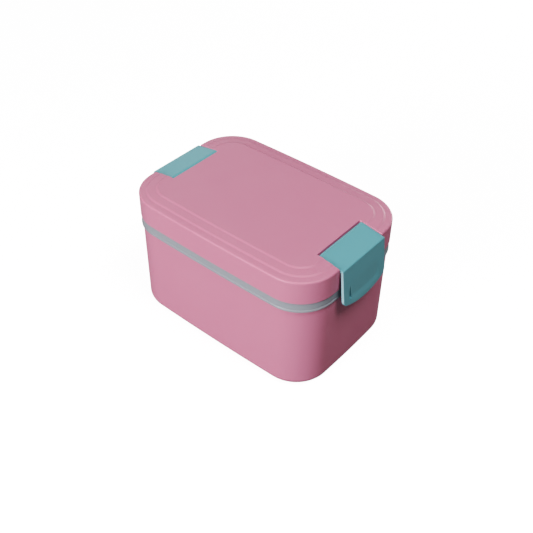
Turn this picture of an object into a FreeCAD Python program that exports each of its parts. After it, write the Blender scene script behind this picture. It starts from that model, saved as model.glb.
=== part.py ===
import FreeCAD, Part

import math
import os

# Bento lunch box, in millimetres.  X runs along the box from latch to latch, Y across it, Z up.
# The origin is the middle of the footprint on the surface that the box stands on.
# Every ring of the box is the same barrel-sided rounded rectangle, pushed in by an inset.

# ---- driving dimensions ----
LENGTH = 168.0              # lid outline, end to end
WIDTH = 115.0               # lid outline, side to side
SIDE_BOW_RADIUS = 2400.0    # the long sides bow out very slightly
END_BOW_RADIUS = 1000.0     # and so do the ends
CORNER_RADIUS = 28.5

FOOT_RECESS = 0.6           # hollow under the floor, inside the foot ring
FOOT_RECESS_INSET = 11.0
BASE_FLOOR = 2.2
BASE_WALL = 2.0
BASE_INSET = 1.2            # base wall, in from the lid outline
BASE_FOOT_FILLET = 5.8
BASE_INNER_FILLET = 4.0
FLANGE_INSET = 0.2
FLANGE_BOTTOM = 72.3
BASE_TOP = 73.5

RIM_INSET = 0.5             # outer face of the tray rim, the band between base and lid
RIM_TOP = 79.8
RIM_EDGE_FILLET = 0.6
TRAY_INNER_INSET = 6.3
TRAY_WALL = 1.6
TRAY_BOTTOM = 38.0
TRAY_FLOOR = 1.8
TRAY_INNER_FILLET = 4.5
LIP_OUTER_INSET = 3.7       # sealing lip that stands on the rim
LIP_INNER_INSET = 5.2
LIP_TOP = 83.8
BASE_SEAL_OUTER = 1.6       # groove under the rim for the lower seal
BASE_SEAL_INNER = 3.2
BASE_SEAL_HEIGHT = 1.5
SEAL_SLACK = 0.05           # the seal's play in its groove

LID_EDGE_TOP = 97.9
LID_EDGE_FILLET = 1.3
LID_WALL = 2.2
STEP_ONE_INSET = 5.7        # first raised step of the lid's top
STEP_ONE_TOP = 99.2
STEP_TWO_INSET = 12.8       # flat middle panel
STEP_TWO_TOP = 100.0
STEP_FILLET = 0.45

HINGE_X = 67.6              # latch pivot, from the middle of the box
HINGE_Z = 97.5
PIN_RADIUS = 1.0
PIN_HALF_LENGTH = 28.0
PIN_CLEARANCE = 0.05
BARREL_RADIUS = 2.3
TROUGH_CLEARANCE = 0.3
LATCH_HALF_WIDTH = 23.75
NOTCH_SIDE_GAP = 0.35
LATCH_THICKNESS = 2.1
CREASE_X = 86.0             # sharp outer corner between top plate and front plate
CREASE_Z = 96.5
CREASE_FILLET = 1.0
LATCH_FLARE = 4.0           # the front plate leans out by this much at its foot
LATCH_FOOT_Z = 63.0
LATCH_FOOT_RADIUS = 55.0
LATCH_CORNER_RADIUS = 6.0
SCOOP_HALF_WIDTH = 18.5
SCOOP_TOP_Z = 84.0
SCOOP_DEEP_Z = 72.5
SCOOP_FOOT_Z = 67.5
SCOOP_DEPTH = 1.0

HOOK_HALF_WIDTH = 15.0
CATCH_HALF_WIDTH = 18.0
CATCH_SLOPE = 70.0          # degrees from level, of the catch and of the bead's upper face
HOOK_BITE = 0.7             # how far the bead reaches in under the flange
HOOK_GAP = 0.13
HOOK_LEAD_IN = 1.9
HOOK_SHELF = 1.1            # how far out the bead's sloped upper face goes before it turns level

HINGE_BLOCK_INNER_X = 61.0
HINGE_BLOCK_BOTTOM = 92.0
HINGE_BLOCK_HALF_WIDTH = 30.5

LINER_INSET = 2.4
LINER_BOTTOM = 86.0
LINER_TOP = 87.6
LINER_WALL = 1.2
CHANNEL_OUTER_WALL = 0.8
CHANNEL_OUTER_FOOT = 83.0
PLUG_INSET = 6.7            # skirt of the liner that reaches into the tray's mouth
PLUG_WALL = 1.2
PLUG_FOOT = 80.3
LID_SEAL_OUTER = 3.3
LID_SEAL_INNER = 6.6
LID_SEAL_FOOT = 83.95

DIVIDER_X = 24.0
DIVIDER_THICKNESS = 1.6
DIVIDER_GAP = 0.25
DIVIDER_TOP = 76.0
DIVIDER_NOTCH_HALF = 12.0   # finger dip in the middle of its top edge
DIVIDER_NOTCH_DEPTH = 5.0
GUIDE_WIDTH = 2.0
GUIDE_REACH = 2.6
GUIDE_TOP = 70.0
CUT_MARGIN = 5.0            # cutters reach this far past what they cut
SAME_PLACE = 0.01           # edges this close to a line are taken to lie on it


def vec(x, y, z):
    return FreeCAD.Vector(x, y, z)


def corner_centre():
    """Centre of a corner arc, inside-tangent to the side arc and to the end arc."""
    side = vec(0, WIDTH / 2 - SIDE_BOW_RADIUS, 0)
    end = vec(LENGTH / 2 - END_BOW_RADIUS, 0, 0)
    side_reach = SIDE_BOW_RADIUS - CORNER_RADIUS
    end_reach = END_BOW_RADIUS - CORNER_RADIUS
    line = end - side
    gap = line.Length
    along = (side_reach ** 2 - end_reach ** 2 + gap ** 2) / (2 * gap)
    across = math.sqrt(side_reach ** 2 - along ** 2)
    unit = line.normalize()
    normal = vec(unit.y, -unit.x, 0)
    centre = side + unit * along + normal * across
    return centre, (centre - side).normalize(), (centre - end).normalize()


CORNER, TO_SIDE, TO_END = corner_centre()


def outline(inset, z):
    """Closed wire of four bowed sides and four corner arcs, pushed in by the inset."""
    radius = CORNER_RADIUS - inset
    side_point = CORNER + TO_SIDE * radius
    end_point = CORNER + TO_END * radius
    middle = CORNER + (TO_SIDE + TO_END).normalize() * radius
    half_width = WIDTH / 2 - inset
    half_length = LENGTH / 2 - inset

    def at(point, sx, sy):
        return vec(sx * point.x, sy * point.y, z)

    edges = []
    for sx, sy, from_end in ((1, 1, True), (-1, 1, False), (-1, -1, True), (1, -1, False)):
        first = end_point if from_end else side_point
        last = side_point if from_end else end_point
        edges.append(Part.Arc(at(first, sx, sy), at(middle, sx, sy), at(last, sx, sy)).toShape())
        if from_end:
            far = vec(0, sy * half_width, z)
            edges.append(Part.Arc(at(side_point, sx, sy), far, at(side_point, -sx, sy)).toShape())
        else:
            far = vec(sx * half_length, 0, z)
            edges.append(Part.Arc(at(end_point, sx, sy), far, at(end_point, sx, -sy)).toShape())
    return Part.Wire(edges)


def slab(inset, bottom, top):
    """Solid of the outline between two heights."""
    return Part.Face(outline(inset, bottom)).extrude(vec(0, 0, top - bottom))


def ring(outer_inset, inner_inset, bottom, top):
    hole = slab(inner_inset, bottom - CUT_MARGIN, top + CUT_MARGIN)
    return slab(outer_inset, bottom, top).cut(hole)


def level_edges(shape, z):
    """The edges of a shape that lie flat at one height."""
    found = []
    for edge in shape.Edges:
        box = edge.BoundBox
        if abs(box.ZMin - z) < SAME_PLACE and abs(box.ZMax - z) < SAME_PLACE:
            found.append(edge)
    return found


def rounded(shape, z, radius):
    return shape.makeFillet(radius, level_edges(shape, z))


def tub(inset, bottom, top, radius):
    """Slab whose foot is rounded all the way round."""
    return rounded(slab(inset, bottom, top), bottom, radius)


def block(x0, x1, half_width, z0, z1):
    return Part.makeBox(x1 - x0, 2 * half_width, z1 - z0, vec(x0, -half_width, z0))


def rod(radius, half_length):
    """Round bar on the right latch's pivot axis."""
    return Part.makeCylinder(radius, 2 * half_length, vec(HINGE_X, -half_length, HINGE_Z), vec(0, 1, 0))


def along_y(points, half_width):
    """Extrude a closed outline of (x, z) points across the box."""
    corners = [vec(x, -half_width, z) for x, z in points]
    face = Part.Face(Part.makePolygon(corners + [corners[0]]))
    return face.extrude(vec(0, 2 * half_width, 0))


def turned(shape):
    """The same piece at the left end, half a turn about Z."""
    copy = shape.copy()
    copy.rotate(vec(0, 0, 0), vec(0, 0, 1), 180)
    return copy


def plate_slope():
    """Fall of the latch's top plate, per millimetre outwards."""
    return (HINGE_Z + BARREL_RADIUS - CREASE_Z) / (CREASE_X - HINGE_X)


def catch_line(z):
    """X of the sloped catch under the flange at height z."""
    rise = math.tan(math.radians(CATCH_SLOPE))
    return LENGTH / 2 - FLANGE_INSET - (FLANGE_BOTTOM - z) / rise


# ---- base ----
def base_catch():
    """Sloped rib under the flange that the latch's bead holds on to."""
    wall = LENGTH / 2 - BASE_INSET - BASE_WALL / 2
    foot = FLANGE_BOTTOM - (BASE_INSET - FLANGE_INSET) * math.tan(math.radians(CATCH_SLOPE))
    points = [(wall, foot), (catch_line(foot), foot), (catch_line(FLANGE_BOTTOM), FLANGE_BOTTOM),
              (wall, FLANGE_BOTTOM)]
    return along_y(points, CATCH_HALF_WIDTH)


def base_shell():
    outer = tub(BASE_INSET, 0, BASE_TOP, BASE_FOOT_FILLET)
    catch = base_catch()
    outer = outer.fuse([slab(FLANGE_INSET, FLANGE_BOTTOM, BASE_TOP), catch, turned(catch)])
    floor = FOOT_RECESS + BASE_FLOOR
    inside = tub(BASE_INSET + BASE_WALL, floor, BASE_TOP + CUT_MARGIN, BASE_INNER_FILLET)
    hollow = slab(FOOT_RECESS_INSET, -CUT_MARGIN, FOOT_RECESS)
    return outer.cut([inside, hollow]).removeSplitter()


# ---- tray ----
def tray_guides():
    """Upright ribs on the long walls, in pairs, that hold the divider."""
    inner = WIDTH / 2 - TRAY_INNER_INSET
    offset = DIVIDER_THICKNESS / 2 + DIVIDER_GAP
    guides = []
    for direction in (-1, 1):
        near = DIVIDER_X + direction * offset
        far = near + direction * GUIDE_WIDTH
        for side in (-1, 1):
            start = side * (inner - GUIDE_REACH)
            end = side * (inner + TRAY_WALL / 2)
            corner = vec(min(near, far), min(start, end), TRAY_BOTTOM + TRAY_FLOOR / 2)
            height = GUIDE_TOP - corner.z
            guides.append(Part.makeBox(GUIDE_WIDTH, abs(end - start), height, corner))
    return guides


def inner_tray():
    rim = slab(RIM_INSET, BASE_TOP, RIM_TOP)
    rim = rim.makeFillet(RIM_EDGE_FILLET, level_edges(rim, BASE_TOP) + level_edges(rim, RIM_TOP))
    outer_fillet = TRAY_INNER_FILLET + TRAY_WALL
    bowl = tub(TRAY_INNER_INSET - TRAY_WALL, TRAY_BOTTOM, RIM_TOP - RIM_EDGE_FILLET, outer_fillet)
    lip = slab(LIP_OUTER_INSET, BASE_TOP + RIM_EDGE_FILLET, LIP_TOP)
    floor = TRAY_BOTTOM + TRAY_FLOOR
    inside = tub(TRAY_INNER_INSET, floor, RIM_TOP + CUT_MARGIN, TRAY_INNER_FILLET)
    lip_inside = slab(LIP_INNER_INSET, RIM_TOP, LIP_TOP + CUT_MARGIN)
    groove = ring(BASE_SEAL_OUTER, BASE_SEAL_INNER, BASE_TOP - CUT_MARGIN, BASE_TOP + BASE_SEAL_HEIGHT)
    body = rim.fuse([bowl, lip]).cut([inside, lip_inside, groove])
    half_wall = TRAY_WALL / 2
    within = tub(TRAY_INNER_INSET - half_wall, TRAY_BOTTOM + half_wall, RIM_TOP, TRAY_INNER_FILLET + half_wall)
    guides = [guide.common(within) for guide in tray_guides()]
    return body.fuse(guides).removeSplitter()


def tray_seal():
    return ring(BASE_SEAL_OUTER + SEAL_SLACK, BASE_SEAL_INNER - SEAL_SLACK,
                BASE_TOP + SEAL_SLACK, BASE_TOP + BASE_SEAL_HEIGHT)


def tray_divider():
    floor = TRAY_BOTTOM + TRAY_FLOOR + DIVIDER_GAP
    space = tub(TRAY_INNER_INSET + DIVIDER_GAP, floor, RIM_TOP, TRAY_INNER_FILLET)
    start = DIVIDER_X - DIVIDER_THICKNESS / 2
    plate = block(start, start + DIVIDER_THICKNESS, WIDTH / 2, floor, DIVIDER_TOP)
    dip_bottom = DIVIDER_TOP - DIVIDER_NOTCH_DEPTH
    dip_radius = (DIVIDER_NOTCH_HALF ** 2 + DIVIDER_NOTCH_DEPTH ** 2) / (2 * DIVIDER_NOTCH_DEPTH)
    dip = Part.makeCylinder(dip_radius, 2 * CUT_MARGIN,
                            vec(DIVIDER_X - CUT_MARGIN, 0, dip_bottom + dip_radius), vec(1, 0, 0))
    return plate.common(space).cut(dip)


# ---- lid ----
def latch_notch():
    """Space in the right end of the lid for the latch's top plate and its barrel."""
    half = LATCH_HALF_WIDTH + NOTCH_SIDE_GAP
    trough = rod(BARREL_RADIUS + TROUGH_CLEARANCE, half)
    inner = HINGE_X - BARREL_RADIUS - TROUGH_CLEARANCE
    outer = LENGTH / 2 + CUT_MARGIN
    top = STEP_TWO_TOP + CUT_MARGIN
    slope = plate_slope()
    drop = BARREL_RADIUS - LATCH_THICKNESS - TROUGH_CLEARANCE
    start = HINGE_Z + drop
    end = start - slope * (outer - HINGE_X)
    points = [(inner, HINGE_Z), (HINGE_X, start), (outer, end), (outer, top), (inner, top)]
    return trough.fuse(along_y(points, half))


def lid_shell():
    edge = rounded(slab(0, RIM_TOP, LID_EDGE_TOP), LID_EDGE_TOP, LID_EDGE_FILLET)
    step_one = rounded(slab(STEP_ONE_INSET, LID_EDGE_TOP - LID_WALL, STEP_ONE_TOP), STEP_ONE_TOP, STEP_FILLET)
    step_two = rounded(slab(STEP_TWO_INSET, LID_EDGE_TOP - LID_WALL, STEP_TWO_TOP), STEP_TWO_TOP, STEP_FILLET)
    inside = slab(LID_WALL, RIM_TOP - CUT_MARGIN, LID_EDGE_TOP - LID_WALL)
    shell = edge.fuse([step_one, step_two]).cut(inside)
    reach = slab(LID_WALL / 2, HINGE_BLOCK_BOTTOM, LID_EDGE_TOP - LID_WALL / 2)
    lump = block(HINGE_BLOCK_INNER_X, LENGTH / 2, HINGE_BLOCK_HALF_WIDTH, HINGE_BLOCK_BOTTOM, LID_EDGE_TOP)
    lump = lump.common(reach)
    shell = shell.fuse([lump, turned(lump)])
    notch = latch_notch()
    bore = rod(PIN_RADIUS, PIN_HALF_LENGTH)
    return shell.cut([notch, turned(notch), bore, turned(bore)]).removeSplitter()


def lid_liner():
    """Inner lid plate, with a channel for the seal and a plug skirt."""
    ceiling = LID_EDGE_TOP - LID_WALL
    plate = slab(LINER_INSET, LINER_BOTTOM, LINER_TOP)
    wall = ring(LINER_INSET, LINER_INSET + LINER_WALL, LINER_BOTTOM, ceiling)
    gap = TROUGH_CLEARANCE
    clear = block(HINGE_BLOCK_INNER_X - gap, LENGTH, HINGE_BLOCK_HALF_WIDTH + gap,
                  HINGE_BLOCK_BOTTOM - gap, ceiling + CUT_MARGIN)
    wall = wall.cut([clear, turned(clear)])
    channel = ring(LINER_INSET, LINER_INSET + CHANNEL_OUTER_WALL, CHANNEL_OUTER_FOOT, LINER_TOP)
    plug = ring(PLUG_INSET, PLUG_INSET + PLUG_WALL, PLUG_FOOT, LINER_TOP)
    return plate.fuse([wall, channel, plug]).removeSplitter()


def lid_seal():
    return ring(LID_SEAL_OUTER, LID_SEAL_INNER, LID_SEAL_FOOT, LINER_BOTTOM)


# ---- latch ----
def latch_front_outline():
    """The latch seen from its end: straight sides, rounded corners and a bowed foot."""
    half = LATCH_HALF_WIDTH
    top = STEP_TWO_TOP + CUT_MARGIN
    arc_z = LATCH_FOOT_Z + LATCH_FOOT_RADIUS
    corner_y = half - LATCH_CORNER_RADIUS
    reach = LATCH_FOOT_RADIUS - LATCH_CORNER_RADIUS
    corner_z = arc_z - math.sqrt(reach ** 2 - corner_y ** 2)
    foot_y = corner_y / reach * LATCH_FOOT_RADIUS
    foot_z = arc_z - (arc_z - corner_z) / reach * LATCH_FOOT_RADIUS
    turn = math.atan2(foot_z - corner_z, foot_y - corner_y) / 2
    mid_y = corner_y + LATCH_CORNER_RADIUS * math.cos(turn)
    mid_z = corner_z + LATCH_CORNER_RADIUS * math.sin(turn)
    start = HINGE_X - 2 * BARREL_RADIUS

    def at(y, z):
        return vec(start, y, z)

    edges = [
        Part.makeLine(at(-half, top), at(-half, corner_z)),
        Part.Arc(at(-half, corner_z), at(-mid_y, mid_z), at(-foot_y, foot_z)).toShape(),
        Part.Arc(at(-foot_y, foot_z), at(0, LATCH_FOOT_Z), at(foot_y, foot_z)).toShape(),
        Part.Arc(at(foot_y, foot_z), at(mid_y, mid_z), at(half, corner_z)).toShape(),
        Part.makeLine(at(half, corner_z), at(half, top)),
        Part.makeLine(at(half, top), at(-half, top)),
    ]
    face = Part.Face(Part.Wire(edges))
    return face.extrude(vec(CREASE_X + LATCH_FLARE + CUT_MARGIN - start, 0, 0))


def front_face_x(z):
    """X of the latch's outer face at height z."""
    return CREASE_X + LATCH_FLARE * (CREASE_Z - z) / (CREASE_Z - LATCH_FOOT_Z)


def latch_bent_plate():
    """Top plate and front plate in one bent strip, with its barrel at the pivot."""
    slope = plate_slope()
    top = HINGE_Z + BARREL_RADIUS
    foot = LATCH_FOOT_Z - CUT_MARGIN
    inner_x = front_face_x(CREASE_Z - LATCH_THICKNESS) - LATCH_THICKNESS
    inner_z = top - LATCH_THICKNESS - slope * (inner_x - HINGE_X)
    points = [(HINGE_X, top), (CREASE_X, CREASE_Z), (front_face_x(foot), foot),
              (front_face_x(foot) - LATCH_THICKNESS, foot), (inner_x, inner_z),
              (HINGE_X, top - LATCH_THICKNESS)]
    plate = along_y(points, LATCH_HALF_WIDTH)
    crease = []
    for edge in plate.Edges:
        middle = edge.BoundBox.Center
        if abs(middle.x - CREASE_X) < SAME_PLACE and abs(middle.z - CREASE_Z) < SAME_PLACE:
            crease.append(edge)
    plate = plate.makeFillet(CREASE_FILLET, crease)
    return plate.fuse(rod(BARREL_RADIUS, LATCH_HALF_WIDTH))


def latch_bead():
    """Bead on the inside of the front plate, with its upper face parallel to the catch."""
    tip_x = LENGTH / 2 - FLANGE_INSET - HOOK_BITE
    rise = math.tan(math.radians(CATCH_SLOPE))
    tip_z = FLANGE_BOTTOM - (HOOK_BITE + HOOK_GAP) * rise
    top_z = tip_z + HOOK_SHELF * rise
    foot_z = tip_z - HOOK_LEAD_IN
    root_x = front_face_x(top_z) - LATCH_THICKNESS / 2
    points = [(tip_x, tip_z), (tip_x + HOOK_SHELF, top_z), (root_x, top_z), (root_x, foot_z)]
    return along_y(points, HOOK_HALF_WIDTH)


def latch_scoop():
    """Shallow finger scoop in the outer face, deepest near its foot."""
    beyond = CREASE_X + LATCH_FLARE + CUT_MARGIN
    points = [(front_face_x(SCOOP_TOP_Z), SCOOP_TOP_Z), (beyond, SCOOP_TOP_Z), (beyond, SCOOP_FOOT_Z),
              (front_face_x(SCOOP_FOOT_Z), SCOOP_FOOT_Z),
              (front_face_x(SCOOP_DEEP_Z) - SCOOP_DEPTH, SCOOP_DEEP_Z)]
    return along_y(points, SCOOP_HALF_WIDTH)


def latch():
    body = latch_bent_plate().fuse(latch_bead())
    body = body.common(latch_front_outline())
    bore = rod(PIN_RADIUS + PIN_CLEARANCE, PIN_HALF_LENGTH)
    return body.cut([latch_scoop(), bore]).removeSplitter()


def hinge_pin():
    return rod(PIN_RADIUS, PIN_HALF_LENGTH)


def save(name, shape):
    solids = shape.Solids
    if len(solids) != 1 or not shape.isValid():
        raise RuntimeError(name + " is not one valid solid")
    solids[0].exportStep("parts/" + name + ".step")
    print(name, round(solids[0].Volume / 1000, 2), "cm3")


def main():
    os.makedirs("parts", exist_ok=True)
    latch_piece = latch()
    pin = hinge_pin()
    save("base_shell", base_shell())
    save("inner_tray", inner_tray())
    save("tray_seal", tray_seal())
    save("tray_divider", tray_divider())
    save("lid_shell", lid_shell())
    save("lid_liner", lid_liner())
    save("lid_seal", lid_seal())
    save("latch_right", latch_piece)
    save("latch_left", turned(latch_piece))
    save("hinge_pin_right", pin)
    save("hinge_pin_left", turned(pin))


main()
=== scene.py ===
import math

import bmesh
import bpy
from mathutils import Matrix, Vector


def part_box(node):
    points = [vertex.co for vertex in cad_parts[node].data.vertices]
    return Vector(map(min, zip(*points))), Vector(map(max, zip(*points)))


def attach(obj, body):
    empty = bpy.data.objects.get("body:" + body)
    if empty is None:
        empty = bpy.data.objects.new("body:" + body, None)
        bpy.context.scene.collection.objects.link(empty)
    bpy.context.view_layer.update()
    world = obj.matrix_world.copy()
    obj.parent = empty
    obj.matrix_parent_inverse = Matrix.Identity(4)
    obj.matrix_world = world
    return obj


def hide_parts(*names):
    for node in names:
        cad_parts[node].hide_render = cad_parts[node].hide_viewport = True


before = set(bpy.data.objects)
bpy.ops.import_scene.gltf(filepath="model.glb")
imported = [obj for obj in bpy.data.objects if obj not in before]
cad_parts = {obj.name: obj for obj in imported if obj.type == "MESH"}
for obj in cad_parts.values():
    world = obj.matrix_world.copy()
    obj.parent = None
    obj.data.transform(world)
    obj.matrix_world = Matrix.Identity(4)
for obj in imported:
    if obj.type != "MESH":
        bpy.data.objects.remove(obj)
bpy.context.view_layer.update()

# Bento lunch box: moulded tub, tray and lid, with two hinged latches at the ends of the lid.
# Shapes are worked out in millimetres and built in metres.  X runs from latch to latch, Z is up.
# Every ring of the box is the same barrel-sided rounded rectangle, pushed in by an inset.
MM = 0.001


def extent(node):
    """Lowest and highest corner of a node, in millimetres."""
    low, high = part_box(node)
    return Vector(low) / MM, Vector(high) / MM


LID_LOW, LID_HIGH = extent("lid_shell")
BASE_TOP = extent("base_shell")[1].z
TRAY_LOW, TRAY_HIGH = extent("inner_tray")
DIVIDER_LOW, DIVIDER_HIGH = extent("tray_divider")
LINER_FOOT = extent("lid_liner")[0].z
SEAL_LOW, SEAL_HIGH = extent("lid_seal")
LATCH_LOW, LATCH_HIGH = extent("latch_right")
PIN_LOW, PIN_HIGH = extent("hinge_pin_right")

# ---- sizes, in millimetres ----
# Outline of the box, and how many columns of points its parts get.
LENGTH = 2 * LID_HIGH.x
WIDTH = 2 * LID_HIGH.y
SIDE_BOW_RADIUS = 2400.0
END_BOW_RADIUS = 1000.0
CORNER_RADIUS = 28.5
HALF_END_COLUMNS = 10
CORNER_COLUMNS = 26
HALF_SIDE_COLUMNS = 14
CAP_INSET = 20.0            # flat middles of floors and panels begin here

# Mesh detail.
SAME_POINT = 0.002          # points closer than this are one
SAME_GRID_POINT = 0.0001    # the same in a ring, whose closest points are real corners
ON_ROW = 0.005              # a point this close to a row of the lid belongs to it
ARC_SUPPORT = 0.22          # a point this far outside each arc keeps the flat beside it flat
SUPPORT_SHARE = 0.45        # a flat shorter than the arc's reach over this gets no such point
ARC_STEPS_PER_MM = 4
ARC_STEPS_LEAST = 4
ARC_STEPS_MOST = 14
PLATE_SUPPORT = 0.15        # the same inside a plate's rounded edge
PLATE_EDGE_STEPS = 5
BEVEL_STEPS = 4
TURNED_CORE = 0.2           # radius of the flat disc at the ends of a turned shape
ROD_STEPS = 56

# Round pip where the plastic entered the mould.
GATE_STEPS = 40
GATE_RADIUS = 2.4
GATE_RISE = 0.3
GATE_SINK = 0.2

# Tub.
FOOT_RECESS = 0.6
FOOT_RECESS_INSET = 11.0
BASE_FLOOR = 2.2
BASE_INSET = 1.2
BASE_WALL = 2.0
BASE_FOOT_FILLET = 5.8
BASE_INNER_FILLET = 4.0
FLANGE_INSET = 0.2
FLANGE_BOTTOM = 72.3
CATCH_HALF_WIDTH = 18.0
CATCH_OVERLAP = 0.3         # the catch reaches this far up into the flange
CATCH_EDGE_RADIUS = 0.2
CATCH_RISE = math.tan(math.radians(70))

# Tray.
RIM_INSET = 0.5
RIM_TOP = LID_LOW.z
BEAD_INSET = 0.05           # fine bead along the band's lower edge, lapping over the tub
BEAD_GAP = 0.02             # air between the bead and the tub's flange
BEAD_BOTTOM = BASE_TOP - 1.2
BEAD_SHOULDER = BASE_TOP - 0.4
BEAD_TOP = BASE_TOP + 0.5
TRAY_INNER_INSET = 6.3
TRAY_WALL = 1.6
TRAY_BOTTOM = TRAY_LOW.z
TRAY_FLOOR = 1.8
TRAY_INNER_FILLET = 4.5
LIP_OUTER_INSET = 3.7
LIP_INNER_INSET = 5.2
LIP_TOP = TRAY_HIGH.z
TRAY_SEAL_OUTER = 1.6
TRAY_SEAL_INNER = 3.2
TRAY_SEAL_HEIGHT = 1.5
TRAY_SEAL_SLACK = 0.05
GUIDE_WIDTH = 2.0           # ribs that hold the divider
GUIDE_REACH = 2.6
GUIDE_TOP = 70.0
GUIDE_GAP = 0.25
GUIDE_SINK = 0.9
GUIDE_EDGE_RADIUS = 0.45
GUIDE_FOOT_SPAN = 0.5       # this much of a rib's foot, next to the wall, is moved in and up,
GUIDE_FOOT_IN = 0.9         # so that it stays inside the bowl's rounded foot
GUIDE_FOOT_UP = 1.2

# Divider.
DIVIDER_EDGE_RADIUS = 0.7
DIVIDER_FOOT_RADIUS = 4.5
DIVIDER_TOP_RADIUS = 2.0
DIVIDER_DIP = 5.0
DIVIDER_DIP_HALF = 12.0
DIVIDER_DIP_SHOULDER = 2.5
DIVIDER_DIP_SHOULDER_RADIUS = 4.0
DIVIDER_DIP_FLOOR_SHARE = 0.55
DIVIDER_DIP_FLOOR_RADIUS = 9.0

# Lid.
LID_TOP = LID_HIGH.z
LID_LOW_EDGE = 0.18
LID_EDGE_TOP = LID_TOP - 2.1
LID_EDGE_FILLET = 1.3
LID_WALL = 2.2
LID_CEILING = 91.8
STEP_ONE_INSET = 5.7
STEP_ONE_TOP = LID_TOP - 0.8
STEP_TWO_INSET = 12.8
STEP_CROWN = 0.45           # the steps rise this much from edge to edge
STEP_LEAN = 0.75            # half the run of a step's slope
STEP_RADIUS = 1.1

# Liner and its seal.
LINER_BOTTOM = 86.0
LINER_TOP = 87.6
PLUG_OUTER = 6.7            # skirt that enters the tray's mouth
PLUG_INNER = 7.9
CHANNEL_INSET = 3.2
LINER_WALL_INSET = 2.4
LINER_WALL_FOOT = 83.0
LINER_RIM_INSET = 3.6
LID_SEAL_OUTER = 3.3
LID_SEAL_INNER = 6.6
SEAL_GROOVE_MOUTH = 0.9     # half widths of the groove at its mouth and its bed
SEAL_GROOVE_BED = 0.6
SEAL_GROOVE_DEPTH = 0.25

# Hinge, and the notch in the lid that the latch lies in.
HINGE_X = (PIN_LOW.x + PIN_HIGH.x) / 2
HINGE_Z = (PIN_LOW.z + PIN_HIGH.z) / 2
BARREL_RADIUS = 2.3
BARREL_EDGE_RADIUS = 0.3
TROUGH_RADIUS = 2.6
TROUGH_ROWS = 8
NOTCH_INSET = LENGTH / 2 - (HINGE_X - TROUGH_RADIUS)
NOTCH_HALF_WIDTH = LATCH_HIGH.y + 0.35
NOTCH_FLOOR_GAP = 0.3
NOTCH_MARGIN = 1.2          # the notch's evenly spaced columns stop this short of its side
NOTCH_COLUMNS = 12
NOTCH_INNER_COLUMNS = (-1.0, -0.4)          # further columns, measured from the notch's side
NOTCH_OUTER_COLUMNS = (1.2, 4.0)
NOTCH_MOUTH_ROWS = (-4.2, -3.4)             # rows of the panel, measured from the notch's end
NOTCH_END_ROWS = (0.0, 0.01, 0.06, 0.15, 0.35)
NOTCH_FLOOR_ROUND = 0.4     # radius of the floor's edge at the lid's skirt
NOTCH_TOP_RUN = ((0.3, 0), (0.16, 0), (0.08, 0.04), (0.02, 0.16))       # (outside side, drop)
NOTCH_FOOT_RUN = ((0.0, 0.3), (-0.05, 0.14), (-0.18, 0.03))             # (outside side, rise)
STRAIGHT_REACH = 4.3        # rows this far outside the notch's end, and columns this far
STRAIGHT_SPAN = 1.0         # outside its side, run straight across the box
CUT_SPAN = 0.6
END_FACING = 0.9            # columns that face along X at least this much are on an end
SKIRT_LOW = RIM_TOP + 5.0   # the notch cuts nothing below this height
SKIRT_ROWS = (88.0, 93.0, 93.6, 94.0)

# Latch.
LATCH_HALF_WIDTH = LATCH_HIGH.y
LATCH_THICKNESS = 2.1
LATCH_FLARE = 4.0           # the front plate leans out by this much at its foot
LATCH_FOOT_Z = LATCH_LOW.z
LATCH_FOOT_RADIUS = 55.0
LATCH_CORNER_RADIUS = 6.0
LATCH_EDGE_RADIUS = 0.38
LATCH_CORNER_STEPS = 12
LATCH_FOOT_STEPS = 30
CREASE_X = LATCH_HIGH.x - LATCH_FLARE
CREASE_Z = 96.5
CREASE_RADIUS = 0.9
INNER_CREASE_RADIUS = 0.22
FOOT_BOW_HALF = 22.0        # the scoop follows the foot's bow out to here
SCOOP_HALF_WIDTH = 18.5
SCOOP_TOP_Z = 84.0
SCOOP_DEEP_Z = 71.5
SCOOP_FOOT_Z = 65.6
SCOOP_DEPTH = 0.5
SCOOP_SIDE_RUN = 5.0        # width of the scoop's soft side walls
CLEFT_ACROSS = -16.3        # nail cleft beside the scoop: middle, width at its foot, depth
CLEFT_WIDTH = 2.8
CLEFT_DEPTH = 1.7
CLEFT_TOP_Z = 81.0
CLEFT_DEEP_Z = 71.2
CLEFT_FOOT_Z = 70.0
CLEFT_FOOT_MARGIN = 0.1
CLEFT_WALL_STEEPNESS = 2.6
CLEFT_LEAST_SHARE = 0.02    # above this share of its length the cleft has run out
HOOK_HALF_WIDTH = 15.0      # bead that snaps under the catch
HOOK_BITE = 0.7
HOOK_GAP = 0.13
HOOK_SHELF = 1.1
HOOK_LEAD_IN = 1.9
HOOK_ROOT = 1.6
HOOK_EDGE_RADIUS = 0.12

# Cuts that give the latch's flat strip the points that its bends and hollows need.
CUTS_ALONG = 58
CUTS_SCOOP = 36
CUTS_CLEFT = 26
CUT_FIRST = 1.0
CUT_LAST_MARGIN = 0.5
CUT_BEHIND_BEND = 0.001
CUT_CLEFT_HALF = 1.5
CUT_SCOOP_START = CLEFT_ACROSS + 2.0
CUT_SCOOP_MARGIN = 0.1
CUT_SIDE_STEP = 0.5
CUT_TOLERANCE = 0.0001
OUTER_FACE = 0.001          # points shallower than this lie on the strip's outer face


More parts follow.
